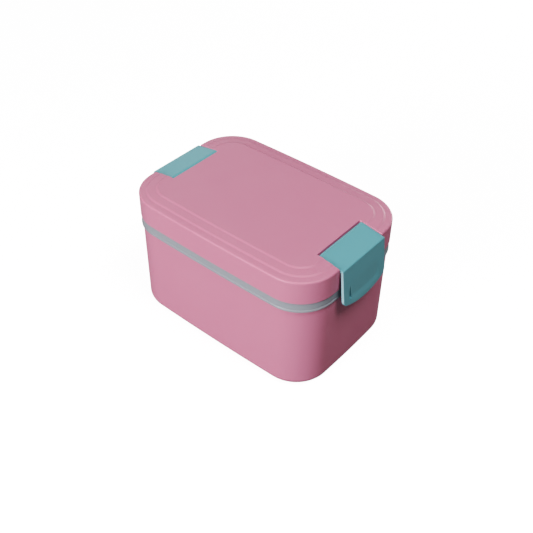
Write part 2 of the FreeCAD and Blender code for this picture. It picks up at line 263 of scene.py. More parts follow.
# ---- outline ----
def corner_centre():
    """Centre of a corner arc, inside-tangent to the side arc and to the end arc."""
    side = Vector((0, WIDTH / 2 - SIDE_BOW_RADIUS))
    end = Vector((LENGTH / 2 - END_BOW_RADIUS, 0))
    side_reach = SIDE_BOW_RADIUS - CORNER_RADIUS
    end_reach = END_BOW_RADIUS - CORNER_RADIUS
    line = end - side
    gap = line.length
    along = (side_reach ** 2 - end_reach ** 2 + gap ** 2) / (2 * gap)
    across = math.sqrt(side_reach ** 2 - along ** 2)
    unit = line.normalized()
    centre = side + unit * along + Vector((unit.y, -unit.x)) * across
    to_side = centre - side
    to_end = centre - end
    return centre, math.atan2(to_side.y, to_side.x), math.atan2(to_end.y, to_end.x)


CORNER, SIDE_TURN, END_TURN = corner_centre()


def spaced(start, stop, count):
    """Evenly spaced values from start up to, but not including, stop."""
    return [start + (stop - start) * i / count for i in range(count)]


def outline_columns(end_places=()):
    """Points of the full-size outline with their outward directions, anticlockwise.

    end_places are the distances from the long axis of the columns on the ends' arcs.
    """
    end_centre = Vector((LENGTH / 2 - END_BOW_RADIUS, 0))
    side_centre = Vector((0, WIDTH / 2 - SIDE_BOW_RADIUS))
    end_last = END_BOW_RADIUS * math.sin(END_TURN)
    places = list(end_places) or spaced(0, end_last, HALF_END_COLUMNS)
    quarter = [(end_centre, END_BOW_RADIUS, math.asin(y / END_BOW_RADIUS)) for y in places]
    for turn in spaced(END_TURN, SIDE_TURN, CORNER_COLUMNS):
        quarter.append((CORNER, CORNER_RADIUS, turn))
    for turn in spaced(SIDE_TURN, math.pi / 2, HALF_SIDE_COLUMNS):
        quarter.append((side_centre, SIDE_BOW_RADIUS, turn))
    right = []
    for centre, radius, turn in quarter:
        out = Vector((math.cos(turn), math.sin(turn)))
        right.append((centre + out * radius, out))
    top = (Vector((0, WIDTH / 2)), Vector((0, 1)))

    def flipped(column, sx, sy):
        """A column mirrored by the signs sx and sy."""
        point, out = column
        return Vector((point.x * sx, point.y * sy)), Vector((out.x * sx, out.y * sy))

    half = right + [top] + [flipped(column, -1, 1) for column in reversed(right)]
    return half + [flipped(column, 1, -1) for column in reversed(half[1:-1])]


# ---- nodes ----
def add_node(tree, kind, settings=None, inputs=None):
    """Adds a node.  Settings are its properties; an input takes a value or another's output."""
    node = tree.nodes.new(kind)
    for key, value in (settings or {}).items():
        setattr(node, key, value)
    for key, value in (inputs or {}).items():
        if isinstance(value, bpy.types.NodeSocket):
            tree.links.new(value, node.inputs[key])
        else:
            node.inputs[key].default_value = value
    return node


def new_tree(name, sockets):
    """Geometry Nodes tree that takes a geometry and the named sockets, and gives a geometry."""
    tree = bpy.data.node_groups.new(name, "GeometryNodeTree")
    tree.interface.new_socket("Geometry", in_out="OUTPUT", socket_type="NodeSocketGeometry")
    tree.interface.new_socket("Geometry", in_out="INPUT", socket_type="NodeSocketGeometry")
    for label, kind in sockets:
        tree.interface.new_socket(label, in_out="INPUT", socket_type=kind)
    return tree


def end_tree(tree, given, geometry):
    """Ends a tree: instances made real, and the piece's material on every face."""
    real = add_node(tree, "GeometryNodeRealizeInstances", inputs={"Geometry": geometry})
    covered = add_node(tree, "GeometryNodeSetMaterial", inputs={
        "Geometry": real.outputs["Geometry"], "Material": given["Material"]})
    add_node(tree, "NodeGroupOutput", inputs={"Geometry": covered.outputs["Geometry"]})


def run_tree(tree, mesh, inputs):
    """Plain mesh that a tree makes of a mesh, with the tree's named inputs set."""
    carrier = bpy.data.objects.new(tree.name, mesh)
    bpy.context.scene.collection.objects.link(carrier)
    modifier = carrier.modifiers.new(tree.name, "NODES")
    modifier.node_group = tree
    for socket in tree.interface.items_tree:
        if socket.in_out == "INPUT" and socket.name in inputs:
            modifier[socket.identifier] = inputs[socket.name]
    graph = bpy.context.evaluated_depsgraph_get()
    made = bpy.data.meshes.new_from_object(carrier.evaluated_get(graph), depsgraph=graph)
    carrier.modifiers.remove(modifier)
    bpy.data.objects.remove(carrier)
    return made


def ring_tree():
    """Tree of a ring: carries a section round the outline that comes in.

    The outline's points hold their outward direction as "out".  The section's points are
    (inset, height).  An open section ends in a flat cap at either end.
    """
    tree = new_tree("ring_on_outline", (
        ("Section", "NodeSocketObject"),
        ("Columns", "NodeSocketInt"),
        ("Rows", "NodeSocketInt"),
        ("Closed Section", "NodeSocketBool"),
        ("Inset", "NodeSocketFloat"),
        ("Lift", "NodeSocketFloat"),
        ("Material", "NodeSocketMaterial"),
    ))
    given = add_node(tree, "NodeGroupInput").outputs
    section = add_node(tree, "GeometryNodeObjectInfo", inputs={"Object": given["Section"]})
    index = add_node(tree, "GeometryNodeInputIndex").outputs["Index"]
    position = add_node(tree, "GeometryNodeInputPosition").outputs["Position"]
    out = add_node(tree, "GeometryNodeInputNamedAttribute", {"data_type": "FLOAT_VECTOR"},
                   {"Name": "out"})

    def carried(geometry, column, row):
        """Moves a geometry's points to their columns and rows of the ring."""
        found = []
        for source, value, place in ((section.outputs["Geometry"], position, row),
                                     (given["Geometry"], position, column),
                                     (given["Geometry"], out.outputs["Attribute"], column)):
            sample = add_node(tree, "GeometryNodeSampleIndex", {"data_type": "FLOAT_VECTOR"},
                              {"Geometry": source, "Value": value, "Index": place})
            found.append(sample.outputs["Value"])
        spot = add_node(tree, "ShaderNodeSeparateXYZ", inputs={"Vector": found[0]})
        inset = add_node(tree, "ShaderNodeMath", {"operation": "ADD"},
                         {0: spot.outputs["X"], 1: given["Inset"]})
        back = add_node(tree, "ShaderNodeMath", {"operation": "MULTIPLY"},
                        {0: inset.outputs["Value"], 1: -1.0})
        height = add_node(tree, "ShaderNodeMath", {"operation": "ADD"},
                          {0: spot.outputs["Y"], 1: given["Lift"]})
        rise = add_node(tree, "ShaderNodeCombineXYZ", inputs={"Z": height.outputs["Value"]})
        pushed = add_node(tree, "ShaderNodeVectorMath", {"operation": "SCALE"},
                          {0: found[2], "Scale": back.outputs["Value"]})
        level = add_node(tree, "ShaderNodeVectorMath", {"operation": "ADD"},
                         {0: found[1], 1: pushed.outputs["Vector"]})
        place = add_node(tree, "ShaderNodeVectorMath", {"operation": "ADD"},
                         {0: level.outputs["Vector"], 1: rise.outputs["Vector"]})
        moved = add_node(tree, "GeometryNodeSetPosition", inputs={
            "Geometry": geometry, "Position": place.outputs["Vector"]})
        return moved.outputs["Geometry"]

    # The wall is a grid with one column, and in a closed section one row, more than it needs;
    # those fall on the first ones and are merged with them.
    columns = add_node(tree, "ShaderNodeMath", {"operation": "ADD"}, {0: given["Columns"], 1: 1.0})
    rows = add_node(tree, "ShaderNodeMath", {"operation": "ADD"},
                    {0: given["Rows"], 1: given["Closed Section"]})
    grid = add_node(tree, "GeometryNodeMeshGrid", inputs={
        "Vertices X": columns.outputs["Value"], "Vertices Y": rows.outputs["Value"]})
    share = add_node(tree, "ShaderNodeMath", {"operation": "DIVIDE"},
                     {0: index, 1: rows.outputs["Value"]})
    whole_share = add_node(tree, "ShaderNodeMath", {"operation": "FLOOR"},
                           {0: share.outputs["Value"]})
    column = add_node(tree, "ShaderNodeMath", {"operation": "MODULO"},
                      {0: whole_share.outputs["Value"], 1: given["Columns"]})
    grid_row = add_node(tree, "ShaderNodeMath", {"operation": "MODULO"},
                        {0: index, 1: rows.outputs["Value"]})
    row = add_node(tree, "ShaderNodeMath", {"operation": "MODULO"},
                   {0: grid_row.outputs["Value"], 1: given["Rows"]})
    wall = carried(grid.outputs["Mesh"], column.outputs["Value"], row.outputs["Value"])
    disc = add_node(tree, "GeometryNodeMeshCircle", {"fill_type": "NGON"},
                    {"Vertices": given["Columns"]})
    first = add_node(tree, "FunctionNodeInputInt", {"integer": 0})
    last = add_node(tree, "ShaderNodeMath", {"operation": "SUBTRACT"}, {0: given["Rows"], 1: 1.0})
    caps = add_node(tree, "GeometryNodeJoinGeometry")
    for end in (first.outputs["Integer"], last.outputs["Value"]):
        tree.links.new(carried(disc.outputs["Mesh"], index, end), caps.inputs["Geometry"])
    ends = add_node(tree, "GeometryNodeSwitch", {"input_type": "GEOMETRY"},
                    {"Switch": given["Closed Section"], "False": caps.outputs["Geometry"]})
    whole = add_node(tree, "GeometryNodeJoinGeometry", inputs={"Geometry": wall})
    tree.links.new(ends.outputs["Output"], whole.inputs["Geometry"])
    merged = add_node(tree, "GeometryNodeMergeByDistance", inputs={
        "Geometry": whole.outputs["Geometry"], "Distance": SAME_GRID_POINT})
    end_tree(tree, given, merged.outputs["Geometry"])
    return tree


def rib_tree():
    """Tree of ribs that face each other: the rib that comes in stands at the corners of an
    oblong, and those on the far side are turned half round."""
    tree = new_tree("facing_ribs", (
        ("Columns", "NodeSocketInt"),
        ("Rows", "NodeSocketInt"),
        ("Length", "NodeSocketFloat"),
        ("Width", "NodeSocketFloat"),
        ("Middle", "NodeSocketVector"),
        ("Far Side", "NodeSocketVector"),
        ("Material", "NodeSocketMaterial"),
    ))
    given = add_node(tree, "NodeGroupInput").outputs
    grid = add_node(tree, "GeometryNodeMeshGrid", inputs={
        "Size X": given["Length"], "Size Y": given["Width"],
        "Vertices X": given["Columns"], "Vertices Y": given["Rows"]})
    position = add_node(tree, "GeometryNodeInputPosition")
    side = add_node(tree, "ShaderNodeVectorMath", {"operation": "DOT_PRODUCT"},
                    {0: position.outputs["Position"], 1: given["Far Side"]})
    far = add_node(tree, "ShaderNodeMath", {"operation": "GREATER_THAN"},
                   {0: side.outputs["Value"], 1: 0.0})
    half_turn = add_node(tree, "ShaderNodeMath", {"operation": "MULTIPLY"},
                         {0: far.outputs["Value"], 1: math.pi})
    turn = add_node(tree, "ShaderNodeCombineXYZ", inputs={"Z": half_turn.outputs["Value"]})
    ribs = add_node(tree, "GeometryNodeInstanceOnPoints", inputs={
        "Points": grid.outputs["Mesh"], "Instance": given["Geometry"],
        "Rotation": turn.outputs["Vector"]})
    placed = add_node(tree, "GeometryNodeTransform", inputs={
        "Geometry": ribs.outputs["Instances"], "Translation": given["Middle"]})
    end_tree(tree, given, placed.outputs["Geometry"])
    return tree


RING_TREE = ring_tree()
RIB_TREE = rib_tree()


def add_ring(build, profile, material, closed=False, inset=0.0, lift=0.0):
    """Adds a ring of a profile of (inset, height) points that is the same all the way round."""
    columns = outline_columns()
    outline = bpy.data.meshes.new("outline")
    outline.from_pydata([(*point, 0) for point, _ in columns], [], [])
    outward = outline.attributes.new("out", "FLOAT_VECTOR", "POINT")
    outward.data.foreach_set("vector", [value for _, out in columns for value in (*out, 0)])
    points = bpy.data.meshes.new("section")
    points.from_pydata([(*point, 0) for point in profile], [], [])
    section = bpy.data.objects.new("section", points)
    ring = run_tree(RING_TREE, outline, {
        "Section": section, "Columns": len(columns), "Rows": len(profile),
        "Closed Section": closed, "Inset": inset, "Lift": lift, "Material": material})
    bpy.data.objects.remove(section)
    build.from_mesh(ring)
    bmesh.ops.recalc_face_normals(build, faces=build.faces)


def add_facing_ribs(build, rib, material, columns, rows, length, width, middle, far_side):
    """Adds copies of one rib, a bmesh, that face each other across the box."""
    mesh = bpy.data.meshes.new("rib")
    rib.to_mesh(mesh)
    rib.free()
    build.from_mesh(run_tree(RIB_TREE, mesh, {
        "Columns": columns, "Rows": rows, "Length": length, "Width": width,
        "Middle": middle, "Far Side": far_side, "Material": material}))


# ---- meshes ----
def rounded_profile(corners, closed=False):
    """Turns corners into a line of points.  A corner is (u, v, radius of its tangent arc).

    A point stands just outside each arc, so that the flats on both sides shade flat.
    """
    line = []
    count = len(corners)
    for i, (u, v, radius) in enumerate(corners):
        here = Vector((u, v))
        if radius == 0 or (not closed and i in (0, count - 1)):
            line.append(here)
            continue
        before = Vector(corners[i - 1][:2]) - here
        after = Vector(corners[(i + 1) % count][:2]) - here
        half = before.angle(after) / 2
        reach = radius / math.tan(half)
        middle = (before.normalized() + after.normalized()).normalized()
        centre = here + middle * radius / math.sin(half)
        first = here + before.normalized() * reach
        last = here + after.normalized() * reach
        steps = min(ARC_STEPS_MOST, round(radius * ARC_STEPS_PER_MM))
        steps = max(ARC_STEPS_LEAST, steps)
        start = first - centre
        sweep = start.angle_signed(last - centre)
        if reach + ARC_SUPPORT < before.length * SUPPORT_SHARE:
            line.append(here + before.normalized() * (reach + ARC_SUPPORT))
        for k in range(steps + 1):
            turn = -sweep * k / steps
            arm = Vector((start.x * math.cos(turn) - start.y * math.sin(turn),
                          start.x * math.sin(turn) + start.y * math.cos(turn)))
            line.append(centre + arm)
        if reach + ARC_SUPPORT < after.length * SUPPORT_SHARE:
            line.append(here + after.normalized() * (reach + ARC_SUPPORT))
    return line


def finish_mesh(build, name, sharp=35):
    """Turns a bmesh in millimetres into an object in metres, smooth except at sharp turns."""
    bmesh.ops.scale(build, vec=(MM, MM, MM), verts=build.verts)
    for face in build.faces:
        face.material_index = 0
    mesh = bpy.data.meshes.new(name)
    build.to_mesh(mesh)
    build.free()
    mesh.shade_smooth()
    mesh.set_sharp_from_angle(angle=math.radians(sharp))
    piece = bpy.data.objects.new(name, mesh)
    bpy.context.scene.collection.objects.link(piece)
    return piece


def add_shell(build, columns, places):
    """Adds a closed shell: places(column) gives each column's points from the underside's
    middle out, up, over and in."""
    grid = [[build.verts.new(point) for point in places(column)] for column in columns]
    for here, there in zip(grid, grid[1:] + grid[:1]):
        for r in range(len(here) - 1):
            build.faces.new((here[r], there[r], there[r + 1], here[r + 1]))
    build.faces.new([line[0] for line in reversed(grid)])
    build.faces.new([line[-1] for line in grid])


def add_prism(build, outline, y0, y1, edge_radius):
    """Adds a bar between y0 and y1 whose (x, z) outline is given, with its edges rounded."""
    near = [build.verts.new((x, y0, z)) for x, z in outline]
    far = [build.verts.new((x, y1, z)) for x, z in outline]
    count = len(outline)
    faces = [build.faces.new(near), build.faces.new(list(reversed(far)))]
    for i in range(count):
        k = (i + 1) % count
        faces.append(build.faces.new((near[k], near[i], far[i], far[k])))
    bmesh.ops.recalc_face_normals(build, faces=faces)
    edges = list({edge for face in faces for edge in face.edges})
    bmesh.ops.bevel(build, geom=edges, offset=edge_radius, segments=BEVEL_STEPS, profile=0.5,
                    affect="EDGES")


def add_turned(build, profile, steps, place):
    """Adds a shape turned from a line of (radius, along) points.  place(a, b, along) sets a
    point in space, with a and b measured from the axis."""
    grid = []
    for turn in spaced(0, 2 * math.pi, steps):
        grid.append([build.verts.new(place(r * math.cos(turn), r * math.sin(turn), along))
                     for r, along in profile])
    faces = [build.faces.new([line[end] for line in grid]) for end in (0, -1)]
    for here, there in zip(grid, grid[1:] + grid[:1]):
        for r in range(len(profile) - 1):
            faces.append(build.faces.new((here[r], there[r], there[r + 1], here[r + 1])))
    bmesh.ops.recalc_face_normals(build, faces=faces)


def add_rod(build, x, z, radius, half_length, edge_radius):
    """Adds a round bar along Y with softly rounded ends."""
    profile = rounded_profile([
        (TURNED_CORE, -half_length, 0),
        (radius, -half_length, edge_radius),
        (radius, half_length, edge_radius),
        (TURNED_CORE, half_length, 0),
    ])
    add_turned(build, profile, ROD_STEPS, lambda a, b, along: (x + b, along, z + a))


def add_gate_mark(build, height):
    """Adds the small round pip left under a floor where the plastic entered the mould."""
    profile = rounded_profile([
        (TURNED_CORE, height + GATE_SINK, 0),
        (GATE_RADIUS, height + GATE_SINK, 0.1),
        (GATE_RADIUS, height - GATE_RISE, 0.14),
        (TURNED_CORE, height - GATE_RISE, 0),
    ])
    add_turned(build, profile, GATE_STEPS, lambda a, b, along: (a, b, along))


def add_plate(build, outline, thickness, edge_radius, place):
    """Adds a plate whose edge is fully rounded.  outline is a closed line of 2-D points,
    anticlockwise, and place(point, depth) sets a point of the plate in space."""
    count = len(outline)
    outs = []
    for i in range(count):
        along = (outline[(i + 1) % count] - outline[i - 1]).normalized()
        outs.append(Vector((along.y, -along.x)))
    section = [(edge_radius + PLATE_SUPPORT, 0)]
    for k in range(PLATE_EDGE_STEPS + 1):
        turn = math.pi / 2 * k / PLATE_EDGE_STEPS
        section.append((edge_radius * (1 - math.sin(turn)), edge_radius * (1 - math.cos(turn))))
    section += [(inset, thickness - depth) for inset, depth in reversed(section)]
    rings = []
    for inset, depth in section:
        rings.append([build.verts.new(place(p - out * inset, depth)) for p, out in zip(outline, outs)])
    faces = [build.faces.new(rings[0]), build.faces.new(list(reversed(rings[-1])))]
    for here, there in zip(rings, rings[1:]):
        for i in range(count):
            k = (i + 1) % count
            faces.append(build.faces.new((here[i], there[i], there[k], here[k])))
    bmesh.ops.recalc_face_normals(build, faces=faces)


# ---- tub ----
def make_base():
    """Tub with a foot ring, rounded foot, flange under the band and a catch at each end."""
    floor = FOOT_RECESS + BASE_FLOOR
    inner = BASE_INSET + BASE_WALL
    profile = rounded_profile([
        (CAP_INSET, FOOT_RECESS, 0),
        (FOOT_RECESS_INSET, FOOT_RECESS, 0.25),
        (FOOT_RECESS_INSET, 0, 0.3),
        (BASE_INSET, 0, BASE_FOOT_FILLET),
        (BASE_INSET, FLANGE_BOTTOM, 0.5),
        (FLANGE_INSET, FLANGE_BOTTOM, 0.35),
        (FLANGE_INSET, BASE_TOP, 0.12),
        (inner, BASE_TOP, 0.35),
        (inner, floor, BASE_INNER_FILLET),
        (CAP_INSET, floor, 0),
    ])
    build = bmesh.new()
    add_ring(build, profile, PINK_SHELL)
    tip = LENGTH / 2 - FLANGE_INSET
    wall = tip - (LENGTH / 2 - BASE_INSET - BASE_WALL / 2)
    slope = BASE_INSET - FLANGE_INSET
    foot = FLANGE_BOTTOM - slope * CATCH_RISE
    top = FLANGE_BOTTOM + CATCH_OVERLAP
    catch = bmesh.new()
    add_prism(catch, [(wall, foot), (slope, foot), (0, FLANGE_BOTTOM), (0, top), (wall, top)],
              -CATCH_HALF_WIDTH, CATCH_HALF_WIDTH, CATCH_EDGE_RADIUS)
    add_facing_ribs(build, catch, PINK_SHELL, columns=2, rows=1, length=2 * tip, width=0,
                    middle=(0, 0, 0), far_side=(1, 0, 0))
    add_gate_mark(build, FOOT_RECESS)
    return finish_mesh(build, "base_tub")


# ---- tray ----
def make_tray():
    """Inner tray: outer band, sealing lip, bowl, and ribs that hold the divider."""
    outer = TRAY_INNER_INSET - TRAY_WALL
    floor = TRAY_BOTTOM + TRAY_FLOOR
    groove_top = BASE_TOP + TRAY_SEAL_HEIGHT
    profile = rounded_profile([
        (CAP_INSET, TRAY_BOTTOM, 0),
        (outer, TRAY_BOTTOM, TRAY_INNER_FILLET + TRAY_WALL),
        (outer, BASE_TOP, 0.4),
        (TRAY_SEAL_INNER, BASE_TOP, 0.12),
        (TRAY_SEAL_INNER, groove_top, 0.12),
        (TRAY_SEAL_OUTER, groove_top, 0.12),
        (TRAY_SEAL_OUTER, BASE_TOP, 0.12),
        (FLANGE_INSET - BEAD_GAP, BASE_TOP, 0.01),
        (FLANGE_INSET - BEAD_GAP, BEAD_BOTTOM, 0.01),
        (BEAD_INSET, BEAD_BOTTOM, 0.06),
        (BEAD_INSET, BEAD_SHOULDER, 0.3),
        (RIM_INSET, BEAD_TOP, 0.2),
        (RIM_INSET, RIM_TOP, 0.2),
        (LIP_OUTER_INSET, RIM_TOP, 0.3),
        (LIP_OUTER_INSET, LIP_TOP, 0.5),
        (LIP_INNER_INSET, LIP_TOP, 0.5),
        (LIP_INNER_INSET, RIM_TOP, 0.3),
        (TRAY_INNER_INSET, RIM_TOP, 0.4),
        (TRAY_INNER_INSET, floor, TRAY_INNER_FILLET),
        (CAP_INSET, floor, 0),
    ])
    build = bmesh.new()
    add_ring(build, profile, TEAL_TRAY)
    half = GUIDE_WIDTH / 2
    low = floor - GUIDE_SINK
    rib = bmesh.new()
    add_prism(rib, [(-half, low), (half, low), (half, GUIDE_TOP), (-half, GUIDE_TOP)],
              -TRAY_WALL / 2, GUIDE_REACH, GUIDE_EDGE_RADIUS)
    for vert in rib.verts:
        if vert.co.y < GUIDE_FOOT_SPAN and vert.co.z < floor:
            vert.co.y += GUIDE_FOOT_IN
            vert.co.z += GUIDE_FOOT_UP
    thickness = DIVIDER_HIGH.x - DIVIDER_LOW.x
    add_facing_ribs(build, rib, TEAL_TRAY, columns=2, rows=2,
                    length=thickness + 2 * GUIDE_GAP + GUIDE_WIDTH,
                    width=WIDTH - 2 * TRAY_INNER_INSET,
                    middle=((DIVIDER_LOW.x + DIVIDER_HIGH.x) / 2, 0, 0), far_side=(0, 1, 0))
    add_gate_mark(build, TRAY_BOTTOM)
    return finish_mesh(build, "tray_bowl")


def make_tray_seal():
    """Soft gasket in the groove under the tray's band."""
    half = (TRAY_SEAL_INNER - TRAY_SEAL_OUTER) / 2 - TRAY_SEAL_SLACK
    height = TRAY_SEAL_HEIGHT - TRAY_SEAL_SLACK
    profile = rounded_profile([
        (half, 0, 0.35),
        (-half, 0, 0.35),
        (-half, height, 0.2),
        (half, height, 0.2),
    ], closed=True)
    build = bmesh.new()
    add_ring(build, profile, SILICONE, closed=True,
             inset=(TRAY_SEAL_INNER + TRAY_SEAL_OUTER) / 2, lift=BASE_TOP + TRAY_SEAL_SLACK)
    return finish_mesh(build, "tray_gasket", sharp=50)


def make_divider():
    """Upright plate with a finger dip in its top edge."""
    half = DIVIDER_HIGH.y
    low, high = DIVIDER_LOW.z, DIVIDER_HIGH.z
    dip = [
        (DIVIDER_DIP_HALF + DIVIDER_DIP_SHOULDER, high, DIVIDER_DIP_SHOULDER_RADIUS),
        (DIVIDER_DIP_HALF * DIVIDER_DIP_FLOOR_SHARE, high - DIVIDER_DIP, DIVIDER_DIP_FLOOR_RADIUS),
    ]
    corners = [
        (-half, low, DIVIDER_FOOT_RADIUS),
        (half, low, DIVIDER_FOOT_RADIUS),
        (half, high, DIVIDER_TOP_RADIUS),
        *dip,
        *[(-u, v, radius) for u, v, radius in reversed(dip)],
        (-half, high, DIVIDER_TOP_RADIUS),
    ]
    outline = rounded_profile(corners, closed=True)
    build = bmesh.new()
    add_plate(build, outline, DIVIDER_HIGH.x - DIVIDER_LOW.x, DIVIDER_EDGE_RADIUS,
              lambda point, depth: (DIVIDER_LOW.x + depth, point.x, point.y))
    return finish_mesh(build, "divider_plate")


# ---- lid ----
def notch_floor(x):
    """Height of the notch's floor at a distance x from the middle of the box."""
    slope = (HINGE_Z + BARREL_RADIUS - CREASE_Z) / (CREASE_X - HINGE_X)
    start = HINGE_Z + BARREL_RADIUS - LATCH_THICKNESS - NOTCH_FLOOR_GAP
    ramp = start - slope * (x - HINGE_X)
    across = min(abs(x - HINGE_X) / TROUGH_RADIUS, 1.0)
    trough = HINGE_Z - TROUGH_RADIUS * math.sqrt(1 - across ** 2)
    if x < LENGTH / 2 - NOTCH_INSET:
        return LID_TOP
    if x < HINGE_X:
        return trough
    return min(ramp, trough) if across < 1 else ramp


def on_skirt(point, height):
    """True for a profile point on the lid's outer face above a height."""
    return point.x < 0.001 and point.y > height


def lid_profile():
    """The lid's section at mid-side: (inset, height) points from the ceiling's middle out."""
    line = rounded_profile([
        (CAP_INSET, LID_CEILING, 0),
        (LID_WALL, LID_CEILING, 0.5),
        (LID_WALL, RIM_TOP, 0.3),
        (0, RIM_TOP, LID_LOW_EDGE),
        (0, LID_EDGE_TOP, LID_EDGE_FILLET),
        (STEP_ONE_INSET - STEP_LEAN, LID_EDGE_TOP + STEP_CROWN, STEP_RADIUS),
        (STEP_ONE_INSET + STEP_LEAN, STEP_ONE_TOP - STEP_CROWN / 2, STEP_RADIUS),
        (STEP_TWO_INSET - STEP_LEAN, STEP_ONE_TOP + STEP_CROWN / 2, STEP_RADIUS),
        (STEP_TWO_INSET + STEP_LEAN, LID_TOP, STEP_RADIUS),
        (CAP_INSET, LID_TOP, 0),
    ])
    trough = []
    for step in range(TROUGH_ROWS, 0, -1):
        turn = math.pi / 2 * step / TROUGH_ROWS
        trough.append(-TROUGH_RADIUS * (1 - math.cos(turn)))
    rows = [*NOTCH_MOUTH_ROWS, *trough, *NOTCH_END_ROWS]
    panel = [Vector((NOTCH_INSET + row, LID_TOP)) for row in rows]
    skirt = [Vector((0, z)) for z in SKIRT_ROWS]
    edge = next(i for i, point in enumerate(line) if on_skirt(point, SKIRT_ROWS[0]))
    return line[:edge] + skirt + line[edge:-1] + panel + line[-1:]


def make_lid():
    """Lid with a rounded edge, two low steps, a flat panel and a notch at each end."""
    profile = lid_profile()
    skirt_row = next(i for i, point in enumerate(profile) if on_skirt(point, SKIRT_LOW))
    beside = [*NOTCH_INNER_COLUMNS, *[gap for gap, _ in reversed(NOTCH_FOOT_RUN)],
              *[gap for gap, _ in reversed(NOTCH_TOP_RUN)], *NOTCH_OUTER_COLUMNS]
    places = spaced(0, NOTCH_HALF_WIDTH - NOTCH_MARGIN, NOTCH_COLUMNS)
    places += [NOTCH_HALF_WIDTH + gap for gap in beside]

    def cut(x, inset, height, from_edge):
        """Height to which the notch lowers a point of the lid's outside."""
        floor = notch_floor(x)
        if inset < NOTCH_FLOOR_ROUND:
            short = NOTCH_FLOOR_ROUND - inset
            floor -= NOTCH_FLOOR_ROUND - math.sqrt(NOTCH_FLOOR_ROUND ** 2 - short ** 2)
        depth = max(height - floor, 0)
        for gap, drop in NOTCH_TOP_RUN:
            if from_edge > gap - ON_ROW:
                return height - min(drop, depth / 2)
        for gap, rise in NOTCH_FOOT_RUN:
            if from_edge > gap - ON_ROW:
                return height - depth + min(rise, depth / 2)
        return height - depth

    def place(column):
        """Points of one column of the lid, lowered where the notch is."""
        point, out = column
        from_edge = abs(point.y) - NOTCH_HALF_WIDTH
        at_end = abs(out.x) > END_FACING
        line = []
        for row, (inset, height) in enumerate(profile):
            spot = point - out * inset
            near_notch = NOTCH_INSET - STRAIGHT_REACH < inset < CAP_INSET
            if at_end and near_notch and from_edge < STRAIGHT_SPAN:
                spot.x = math.copysign(LENGTH / 2 - inset, point.x)
            if at_end and from_edge < CUT_SPAN and height > SKIRT_LOW and row >= skirt_row:
                height = cut(abs(spot.x), inset, height, from_edge)
            line.append((spot.x, spot.y, height))
        return line

    build = bmesh.new()
    add_shell(build, outline_columns(places), place)
    bmesh.ops.remove_doubles(build, verts=build.verts, dist=SAME_POINT)
    return finish_mesh(build, "lid_top", sharp=50)


def make_liner():
    """Inner lid plate with a channel for its seal, and a skirt that enters the tray's mouth."""
    profile = rounded_profile([
        (CAP_INSET, LINER_BOTTOM, 0),
        (PLUG_INNER, LINER_BOTTOM, 0.5),
        (PLUG_INNER, LINER_FOOT, 0.4),
        (PLUG_OUTER, LINER_FOOT, 0.4),
        (PLUG_OUTER, LINER_BOTTOM, 0.2),
        (CHANNEL_INSET, LINER_BOTTOM, 0.2),
        (CHANNEL_INSET, LINER_WALL_FOOT, 0.25),
        (LINER_WALL_INSET, LINER_WALL_FOOT, 0.25),
        (LINER_WALL_INSET, LID_CEILING, 0.2),
        (LINER_RIM_INSET, LID_CEILING, 0.2),
        (LINER_RIM_INSET, LINER_TOP, 0.4),
        (CAP_INSET, LINER_TOP, 0),
    ])
    build = bmesh.new()
    add_ring(build, profile, PALE_LINER)
    add_gate_mark(build, LINER_BOTTOM)
    return finish_mesh(build, "lid_inner_plate")


def make_lid_seal():
    """Soft ring under the liner, with a shallow groove where the tray's lip presses."""
    half = (LID_SEAL_INNER - LID_SEAL_OUTER) / 2
    height = SEAL_HIGH.z - SEAL_LOW.z
    profile = rounded_profile([
        (half, 0, 0.4),
        (SEAL_GROOVE_MOUTH, 0, 0.2),
        (SEAL_GROOVE_BED, SEAL_GROOVE_DEPTH, 0.2),
        (-SEAL_GROOVE_BED, SEAL_GROOVE_DEPTH, 0.2),
        (-SEAL_GROOVE_MOUTH, 0, 0.2),
        (-half, 0, 0.4),
        (-half, height, 0.15),
        (half, height, 0.15),
    ], closed=True)
    build = bmesh.new()
    add_ring(build, profile, SILICONE, closed=True, inset=(LID_SEAL_OUTER + LID_SEAL_INNER) / 2,
             lift=SEAL_LOW.z)
    return finish_mesh(build, "lid_gasket", sharp=50)


# ---- latch ----
def front_lean():
    """How far the front plate leans out for each millimetre that it goes down."""
    return LATCH_FLARE / (CREASE_Z - LATCH_FOOT_Z)


def strip_paths():
    """Outer and inner face of the bent strip as matching lists of (x, z) points, and the
    distance along the outer face at each of them."""
    top = HINGE_Z + BARREL_RADIUS
    slope = (top - CREASE_Z) / (CREASE_X - HINGE_X)
    foot_x = CREASE_X + LATCH_FLARE
    inner_x = CREASE_X + LATCH_THICKNESS * front_lean() - LATCH_THICKNESS
    inner_z = top - LATCH_THICKNESS - slope * (inner_x - HINGE_X)
    outer_line = rounded_profile([
        (HINGE_X, top, 0),
        (CREASE_X, CREASE_Z, CREASE_RADIUS),
        (foot_x, LATCH_FOOT_Z, 0),
    ])
    inner_line = rounded_profile([
        (HINGE_X, top - LATCH_THICKNESS, 0),
        (inner_x, inner_z, INNER_CREASE_RADIUS),
        (foot_x - LATCH_THICKNESS, LATCH_FOOT_Z, 0),
    ])
    reach = [0.0]
    for here, there in zip(outer_line, outer_line[1:]):
        reach.append(reach[-1] + (there - here).length)
    return outer_line, inner_line, reach


OUTER_PATH, INNER_PATH, PATH_REACH = strip_paths()
STRIP_LENGTH = PATH_REACH[-1]


